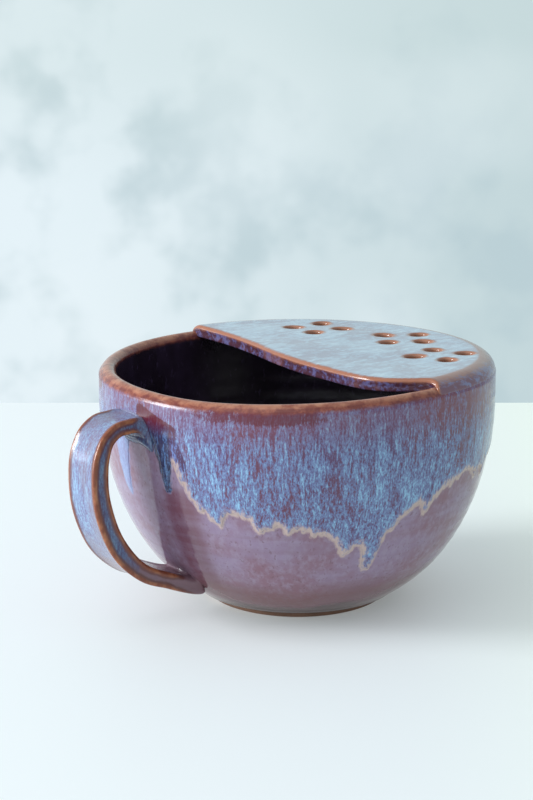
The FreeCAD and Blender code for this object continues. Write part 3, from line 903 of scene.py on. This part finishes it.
class Tree:
    """The nodes of a material or of the room, each made by one call."""

    def __init__(self, owner, coordinates):
        owner.use_nodes = True
        self.nodes, self.links = owner.node_tree.nodes, owner.node_tree.links
        self.place = self.node("TexCoord").outputs[coordinates]

    def node(self, kind, **settings):
        node = self.nodes.new("ShaderNode" + kind)
        for name, setting in settings.items():
            setattr(node, name, setting)
        return node

    def put(self, value, socket):
        """A link where the value comes from a node, and a setting where it doesn't."""
        value = getattr(value, "socket", value)
        if isinstance(value, bpy.types.NodeSocket):
            self.links.new(value, socket)
        else:
            socket.default_value = value

    def math(self, operation, first, second):
        node = self.node("Math", operation=operation)
        self.put(first, node.inputs[0])
        self.put(second, node.inputs[1])
        return Value(self, node.outputs[0])

    def along(self, vector):
        """How far each place lies along a vector, in lengths of it."""
        node = self.node("VectorMath", operation="DOT_PRODUCT")
        self.put(self.place, node.inputs[0])
        node.inputs[1].default_value = vector
        return Value(self, node.outputs["Value"])

    def texture(self, place, scale, detail, roughness=0.5, distortion=0.0):
        """Blender's noise at a place, from 0 to 1."""
        node = self.node("TexNoise")
        self.put(place, node.inputs["Vector"])
        settings = {"Scale": scale, "Detail": detail, "Roughness": roughness,
                    "Distortion": distortion}
        for name, setting in settings.items():
            node.inputs[name].default_value = setting
        return Value(self, node.outputs["Fac"])

    def over(self, colour, added, share, low=None, high=None, strength=1.0):
        """A colour with another over it, by share, or by a soft step of share to strength."""
        if low is not None:
            share = share.step(low, high, 0.0, strength)
        node = self.node("Mix", data_type="RGBA")
        self.put(share, node.inputs[0])
        for part, socket in ((colour, node.inputs[6]), (added, node.inputs[7])):
            self.put(linear(part) if isinstance(part, tuple) else part, socket)
        return node.outputs[2]


class Shader(Tree):
    """The nodes of one glaze, the clay or the table top. Sizes are in millimetres."""

    def __init__(self, name, roughness):
        self.material = bpy.data.materials.new(name)
        super().__init__(self.material, "Object")
        self.surface = self.nodes["Principled BSDF"].inputs
        self.surface["Roughness"].default_value = roughness
        self.surface["IOR"].default_value = GLAZE_IOR

    def noise(self, size, stretch=(1, 1, 1), detail=2.0, roughness=0.5, distortion=0.0,
              shift=0.0):
        """Noise whose lumps are about size long, made longer by stretch."""
        node = self.node("Mapping")
        self.put(self.place, node.inputs["Vector"])
        node.inputs["Scale"].default_value = [1 / part for part in stretch]
        node.inputs["Location"].default_value = (shift, shift * 0.7, shift * 1.3)
        scale = LUMP_AT_SCALE_1 / (size * MM)
        return self.texture(node.outputs[0], scale, detail, roughness, distortion)

    def attribute(self, name):
        return Value(self, self.node("Attribute", attribute_name=name).outputs["Fac"])

    def height(self):
        """Height above the table."""
        return self.along((0, 0, 1 / MM))

    def bump(self, height, distance, before=None):
        """A bump of a given depth, on top of the one before."""
        node = self.node("Bump")
        node.inputs["Distance"].default_value = distance * MM
        self.put(height, node.inputs["Height"])
        if before is not None:
            self.put(before, node.inputs["Normal"])
        return node.outputs[0]

    def finish(self, colour, normal=None):
        self.put(colour, self.surface["Base Color"])
        if normal is not None:
            self.put(normal, self.surface["Normal"])
        return self.material


# ---------------------------------------------------------------- glazes and clay

GLAZE_IOR = 1.5
LUMP_AT_SCALE_1 = 0.6       # about how long a lump of Blender's noise is, in units of its scale


def first_coat_colour(shader):
    """Mauve glaze with brown and pink clouds, darker towards the bottom, with the handle's shadow
    and reflection painted beside it.
    """
    cloud = shader.noise(16, (1, 1, 0.6), 3.0, 0.6)
    fine = shader.noise(1.6, (1, 1, 1.6), 3.0, 0.65, shift=3.0)
    speck = shader.noise(0.7, (1, 1, 1.4), 1.0, shift=5.0)
    bands = shader.noise(5.0, (8, 8, 0.35), shift=7.0)
    colour = shader.over((142, 122, 148), (132, 96, 112), cloud, 0.35, 0.68)
    colour = shader.over(colour, (152, 138, 160), fine, 0.38, 0.72, 0.6)
    colour = shader.over(colour, (128, 96, 112), bands, 0.45, 0.75, 0.35)
    colour = shader.over(colour, (108, 74, 84), speck, 0.62, 0.74, 0.5)
    # painted shadow and reflection of the handle, darker red-brown beside it
    painted_handle_shade = shader.attribute("painted_handle_shade") * bands.step(0.3, 0.6, 0.5, 0.75)
    colour = shader.over(colour, (108, 62, 76), painted_handle_shade)
    # darker towards the bottom: browner from about 26 mm down, near black from about 10 mm down
    ragged = shader.height() + cloud.swing(16.0)
    colour = shader.over(colour, (112, 72, 74), ragged, 26.0, 15.0, 0.8)
    return shader.over(colour, (66, 44, 44), ragged, 10.0, 4.0, 0.85)


def first_coat_bump(shader):
    """Small pits on a slow swell."""
    pits = shader.noise(2.2, (1, 1, 1.2), shift=9.0)
    swell = shader.noise(9.0, (1, 1, 0.6), shift=13.0)
    return shader.bump(pits, 0.05, shader.bump(swell, 0.35))


def lip_tint(shader, colour):
    """The lip breaks to a warm brown where the glaze is thin, and to tan on its crest."""
    lip = shader.attribute("lip")
    uneven = shader.noise(4.0, detail=3.0, roughness=0.6, shift=17.0)
    patch = shader.noise(2.6, (1, 1, 0.7), 4.0, 0.7, shift=19.0)
    brown = shader.over((108, 50, 46), (150, 86, 66), patch, 0.38, 0.66)
    tan = shader.over((140, 80, 62), (176, 122, 96), patch, 0.35, 0.6)
    colour = shader.over(colour, brown, lip + uneven.swing(0.5), 0.30, 0.75)
    return shader.over(colour, tan, lip + uneven.swing(0.4), 0.8, 1.05)


def first_coat():
    shader = Shader("first_coat_glaze", 0.1)
    return shader.finish(lip_tint(shader, first_coat_colour(shader)), first_coat_bump(shader))


def streaks(shader, density):
    """Blue crystals drawn down into fine streaks, on purple, and how many there are."""
    long_streak = shader.noise(0.5, (1, 1, 5.0), 4.0, 0.65, 0.3, shift=21.0)
    short_streak = shader.noise(0.32, (1, 1, 2.0), 3.0, 0.65, shift=25.0)
    clump = shader.noise(4.0, (1, 1, 2.6), 3.0, 0.6, shift=29.0)
    mottle = shader.noise(22.0, (1, 1, 1.4), shift=33.0)
    stream = shader.noise(1.9, (1, 1, 7.0), shift=53.0)
    amount = long_streak * 0.58 + short_streak * 0.42 + clump.swing(0.17)
    amount = amount + stream.swing(0.22) + mottle.swing(0.12) + density
    colour = shader.over((102, 58, 78), (80, 58, 102), mottle, 0.35, 0.65)
    colour = shader.over(colour, (104, 118, 162), amount, 0.38, 0.52)
    return shader.over(colour, (144, 190, 220), amount, 0.49, 0.66, 0.9), amount


def second_coat():
    """Blue rutile glaze over the first coat: streaked, red under the rim, pale at its edge."""
    shader = Shader("second_coat_glaze", 0.15)
    height, edge = shader.height(), shader.attribute("edge")
    density = height.step(70.0, 93.0, 0.0, -0.045) + edge.step(14.0, 1.5, 0.0, 0.006)
    colour, amount = streaks(shader, density)
    waver = shader.noise(5.0, (1, 1, 1.5), 3.0, 0.6, shift=37.0)
    grit = shader.noise(0.8, (1, 1, 2.6), 3.0, 0.6, shift=49.0)
    colour = shader.over(colour, (128, 72, 84), height + waver.swing(9.0), 76.0, 93.0, 0.4)
    red = shader.attribute("red") + waver.swing(1.3) + amount.swing(-1.6)
    colour = shader.over(colour, (92, 26, 40), red, 0.45, 0.85, 0.8)
    # where it gathered beside the upper root: purple, dark red higher up, with blue flecks
    pool = shader.over((62, 30, 70), (84, 16, 28), height, 78.0, 87.0)
    flecks = amount.step(0.49, 0.58) * height.step(88.0, 76.0, 0.0, 0.9)
    pool = shader.over(pool, (96, 116, 178), flecks)
    pooled = shader.attribute("pool") + waver.swing(0.7) + amount.swing(-0.8)
    colour = shader.over(colour, pool, pooled, 0.3, 0.6, 0.9)
    # the drip below that root, and painted glare that pales the one behind the handle
    slate = shader.over((44, 48, 76), (78, 112, 156), amount, 0.44, 0.60)
    colour = shader.over(colour, slate, shader.attribute("slate") * 0.85)
    colour = shader.over(colour, (150, 156, 196), shader.attribute("thinned_drip_painted_glare") * 0.6)
    # the pale margin
    ragged = edge + waver.swing(3.0) + grit.swing(7.0)
    pale = shader.attribute("plain").step(0.8, 0.2)
    colour = shader.over(colour, (146, 138, 162), ragged.step(3.0, 0.9, 0.0, 0.7) * pale)
    colour = shader.over(colour, (192, 168, 158), ragged.step(1.8, 0.2, 0.0, 0.9) * pale)
    outermost = edge + grit.swing(3.0)
    colour = shader.over(colour, first_coat_colour(shader), outermost, -0.2, -1.5)
    colour = lip_tint(shader, colour)
    return shader.finish(colour, shader.bump(amount, 0.10, first_coat_bump(shader)))


def liner():
    """Near-black liner with a bloom of violet, brown where it thins at the rim."""
    shader = Shader("liner_glaze", 0.27)
    bloom = shader.noise(14, (1, 1, 1.6), 3.0, 0.6)
    fleck = shader.noise(1.4, (1, 1, 2.0), 2.0, 0.6, shift=4.0)
    colour = shader.over((34, 25, 35), (50, 38, 58), bloom, 0.4, 0.7)
    colour = shader.over(colour, (70, 58, 84), fleck, 0.58, 0.74, 0.6)
    rim = shader.over((128, 72, 58), (104, 58, 56), bloom, 0.4, 0.7)
    colour = shader.over(rim, colour, shader.attribute("dark"), 0.3, 0.98)
    return shader.finish(lip_tint(shader, colour), first_coat_bump(shader))


def bare_clay():
    """Unglazed stoneware, buff with iron specks."""
    shader = Shader("bare_clay", 0.8)
    cloud = shader.noise(8, detail=3.0, roughness=0.6)
    speck = shader.noise(0.8, detail=1.0, shift=2.0)
    grain = shader.noise(0.4, roughness=0.6, shift=6.0)
    colour = shader.over((118, 86, 68), (102, 74, 58), cloud, 0.35, 0.65)
    colour = shader.over(colour, (92, 62, 46), speck, 0.68, 0.74)
    return shader.finish(colour, shader.bump(grain, 0.06))


def cover_glaze():
    """Blue-grey rutile glaze, brown wherever it thins over an edge."""
    shader = Shader("cover_glaze", 0.17)
    cloud = shader.noise(12, detail=3.0, roughness=0.6, shift=1.0)
    streak = shader.noise(2.0, (2.4, 1.0, 1.0), 3.0, 0.65, 0.4, shift=3.0)
    fleck = shader.noise(0.9, (1.6, 1.0, 1.0), 2.0, 0.6, shift=5.0)
    amount = streak * 0.6 + fleck * 0.4 + cloud.swing(0.4)
    colour = shader.over((154, 159, 173), (164, 177, 191), cloud, 0.35, 0.65)
    colour = shader.over(colour, (169, 190, 205), amount, 0.44, 0.56)
    colour = shader.over(colour, (190, 211, 221), amount, 0.54, 0.70)
    # the margin pressed over the rim: tan where it turns down, then like the wall
    margin = shader.attribute("margin")
    colour = shader.over(colour, (160, 114, 94), margin, 0.0, 0.22, 0.85)
    outer_side = shader.over((112, 82, 100), (118, 126, 164), amount, 0.44, 0.6)
    colour = shader.over(colour, outer_side, margin + fleck.swing(0.5), 0.5, 0.85, 0.9)
    # the free edge and the holes' rims
    on_rim, hole = shader.attribute("on_rim"), shader.attribute("hole")
    edge = shader.attribute("edge") + on_rim * 2.6 + cloud.swing(1.8) + fleck.swing(1.2)
    colour = shader.over(colour, (144, 108, 100), edge, 2.4, 1.2, 0.7)
    colour = shader.over(colour, (156, 100, 76), edge, 1.5, 0.6)
    colour = shader.over(colour, (160, 110, 86), hole, 0.3, 0.8)
    # the free edge's side and the holes' walls
    side_colour = shader.over((74, 44, 56), (98, 96, 140), amount, 0.44, 0.62)
    side_colour = shader.over(side_colour, (132, 86, 78), cloud, 0.48, 0.66, 0.6)
    roll = shader.attribute("roll") + hole * -0.2 + streak.swing(0.16)
    side = roll.step(0.42, 0.56) * on_rim.step(0.8, 0.2)
    colour = shader.over(colour, side_colour, side)
    return shader.finish(colour, shader.bump(amount, 0.08, shader.bump(cloud, 0.25)))


def handle_glaze():
    """The same two coats on the strap: blue outside, brown along its edges and inside."""
    shader = Shader("handle_glaze", 0.15)
    height = shader.height()
    outer, edge, root, low_root = (
        shader.attribute(name) for name in ("outer", "edge", "root", "low_root"))
    face = outer.step(0.2, 0.9)
    colour, amount = streaks(shader, face * 0.02 + height.step(40.0, 20.0, 0.0, -0.2))
    bloom = shader.noise(9.0, (1, 1, 2.0), 2.0, 0.6, shift=39.0)
    veil = face * bloom.step(0.35, 0.65, 0.3, 0.75)
    colour = shader.over(colour, (126, 120, 136), veil)
    on_top = root * low_root.step(0.05, 0.0) * outer.step(0.2, 0.8)
    colour = shader.over(colour, (140, 138, 164), on_top, 0.2, 0.7, 0.5)
    side = outer.step(0.75, 0.4) * low_root.step(0.5, 0.0) * 0.6
    colour = shader.over(colour, (56, 62, 94), side)
    inside = outer.step(-0.3, -0.9) * root.step(0.7, 0.1) * 0.8
    colour = shader.over(colour, (110, 62, 52), inside)
    waver = shader.noise(3.0, (1, 1, 1.6), 3.0, 0.6, shift=41.0)
    colour = shader.over(colour, (126, 96, 104), height + waver.swing(14.0), 34.0, 22.0, 0.9)
    # brown along the strap's edges, lighter where they are worn, and none on the roots
    band = edge + waver.swing(1.4) + root * 4.0
    worn = shader.over((122, 62, 40), (172, 110, 72), waver, 0.4, 0.7)
    colour = shader.over(colour, (96, 52, 46), band, 1.9, 1.0, 0.85)
    colour = shader.over(colour, worn, band, 1.1, 0.3)
    landing = root.step(0.5, 1.0) * low_root
    colour = shader.over(colour, first_coat_colour(shader), landing)
    return shader.finish(colour, shader.bump(amount, 0.08, first_coat_bump(shader)))


# ---------------------------------------------------------------- surroundings, in metres

CAMERA_PLACE = (-0.4515, -0.5992, 0.2571)
CAMERA_HEADING = 53.963         # degrees from +X
CAMERA_PITCH = 13.246           # degrees downwards
CAMERA_LENS = 85.0
SENSOR_WIDTH = 36.0

FLOOR_BEHIND = 0.335            # from the bowl's axis to the table's far edge
FLOOR_BEFORE = 2.4
FLOOR_HALF_WIDTH = 2.4
FLOOR_GLOW = 0.30               # the table's own light, which lifts it to the photo's white

LIGHT_AIM = Vector((0, 0, 0.05))
DAYLIGHT, WARM = (246, 250, 255), (255, 252, 248)
# Name, heading and elevation in degrees, distance, width, height, watts, colour
LIGHTS = [("window", 151, 21, 2.6, 0.9, 1.0, 66.0, DAYLIGHT),
          ("low_window", 150, 3, 1.4, 1.4, 0.36, 6.0, DAYLIGHT),
          ("soft_fill", 190, 60, 1.8, 1.2, 1.2, 3.5, WARM)]


def direction(heading, elevation=0.0):
    """A unit vector from degrees round from +X and degrees above level."""
    heading, elevation = math.radians(heading), math.radians(elevation)
    return Vector((math.cos(heading) * math.cos(elevation),
                   math.sin(heading) * math.cos(elevation), math.sin(elevation)))


def make_camera():
    data = bpy.data.cameras.new("camera")
    data.lens = CAMERA_LENS
    data.sensor_width = SENSOR_WIDTH
    data.clip_end = 20.0
    camera = bpy.data.objects.new("camera", data)
    camera.location = CAMERA_PLACE
    camera.rotation_euler = (math.radians(90 - CAMERA_PITCH), 0,
                             math.radians(CAMERA_HEADING - 90))
    bpy.context.scene.collection.objects.link(camera)
    bpy.context.scene.camera = camera


def make_floor():
    """White table top, square to the camera's heading, a little greener on its right."""
    ahead, left = direction(CAMERA_HEADING), direction(CAMERA_HEADING + 90)
    corners = [ahead * far + left * side for far, side in (
        (FLOOR_BEHIND, -FLOOR_HALF_WIDTH), (FLOOR_BEHIND, FLOOR_HALF_WIDTH),
        (-FLOOR_BEFORE, FLOOR_HALF_WIDTH), (-FLOOR_BEFORE, -FLOOR_HALF_WIDTH))]
    mesh = bpy.data.meshes.new("floor")
    mesh.from_pydata([tuple(corner) for corner in corners], [], [(0, 1, 2, 3)])
    floor = bpy.data.objects.new("floor", mesh)
    bpy.context.scene.collection.objects.link(floor)
    shader = Shader("table_top", 0.55)
    colour = shader.over((212, 217, 217), (219, 228, 216), shader.along(left), -0.02, -0.2)
    shader.put(colour, shader.surface["Emission Color"])
    shader.surface["Emission Strength"].default_value = FLOOR_GLOW
    mesh.materials.append(shader.finish(colour))


def make_light(name, heading, elevation, distance, width, height, watts, colour):
    """A rectangle of light that faces the bowl and that the camera doesn't see."""
    data = bpy.data.lights.new(name, "AREA")
    data.shape = "RECTANGLE"
    data.size, data.size_y = width, height
    data.energy = watts
    data.color = linear(colour)[:3]
    light = bpy.data.objects.new(name, data)
    toward = direction(heading, elevation)
    light.location = toward * distance + LIGHT_AIM
    light.visible_camera = False
    light.rotation_euler = (-toward).to_track_quat("-Z", "Y").to_euler()
    bpy.context.scene.collection.objects.link(light)


def make_world():
    """Mottled pale blue wall ahead, a plain room around, brighter on the window side."""
    world = bpy.data.worlds.new("room")
    bpy.context.scene.world = world
    room = Tree(world, "Generated")
    ahead, upward = room.along(direction(CAMERA_HEADING)), room.along((0, 0, 1))
    sideways = room.along(direction(CAMERA_HEADING + 90))
    fine, broad = room.texture(room.place, 22.0, 3.0), room.texture(room.place, 11.0, 1.0)
    wall = room.over((196, 215, 219), (230, 243, 249), sideways, -0.16, 0.14)
    wall = room.over(wall, (184, 205, 212), fine, 0.44, 0.70, 0.7)
    wall = room.over(wall, (236, 247, 252), broad, 0.45, 0.7, 0.4)
    wall = room.over(wall, (204, 222, 222), upward, -0.13, -0.04, 0.4)
    around = room.over((172, 184, 192), (236, 246, 252), sideways, -0.9, 0.5)
    colour = room.over(wall, around, ahead, 0.93, 0.6)
    colour = room.over(colour, (190, 200, 206), upward, 0.15, 0.7)
    colour = room.over(colour, (236, 246, 250), upward, -0.24, -0.33)
    background = room.nodes["Background"].inputs
    room.put(colour, background["Color"])
    background["Strength"].default_value = 1.0


# ---------------------------------------------------------------- the bowl, put together


def place_piece(piece, materials, slot, *nodes):
    for material in materials:
        piece.data.materials.append(material)
    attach(piece, "root")
    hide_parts(*nodes)


def paint_body(body):
    """Bare clay underneath, the first coat outside, the liner inside."""
    bare, dark = (body.data.attributes[name].data for name in ("bare", "dark"))
    for face in body.data.polygons:
        ends = (face.vertices[0], face.vertices[2])
        if all(bare[end].value > 0.5 for end in ends):
            face.material_index = 2
        elif all(dark[end].value > 0.05 for end in ends):
            face.material_index = 1


make_camera()
make_world()
make_floor()
for light in LIGHTS:
    make_light(*light)

bowl_body = make_bowl_body()
place_piece(bowl_body, [first_coat(), liner(), bare_clay()], "base_glaze",
            "bowl_wall", "base_glaze", "liner_glaze")
paint_body(bowl_body)
place_piece(make_over_coat(), [second_coat()], "over_glaze", "over_glaze")
place_piece(make_half_cover(), [cover_glaze()], "cover_glaze", "half_cover")
place_piece(make_coil(), [bpy.data.materials["liner_glaze"]], "liner_glaze", "cover_joint_coil")
place_piece(make_foot(), [bpy.data.materials["bare_clay"]], "bare_foot", "foot_ring")
place_piece(make_handle(), [handle_glaze()], "handle_glaze",
            "handle_strap", "handle_upper_joint", "handle_lower_joint")

bpy.context.scene.view_settings.view_transform = "Standard"
bpy.context.view_layer.update()
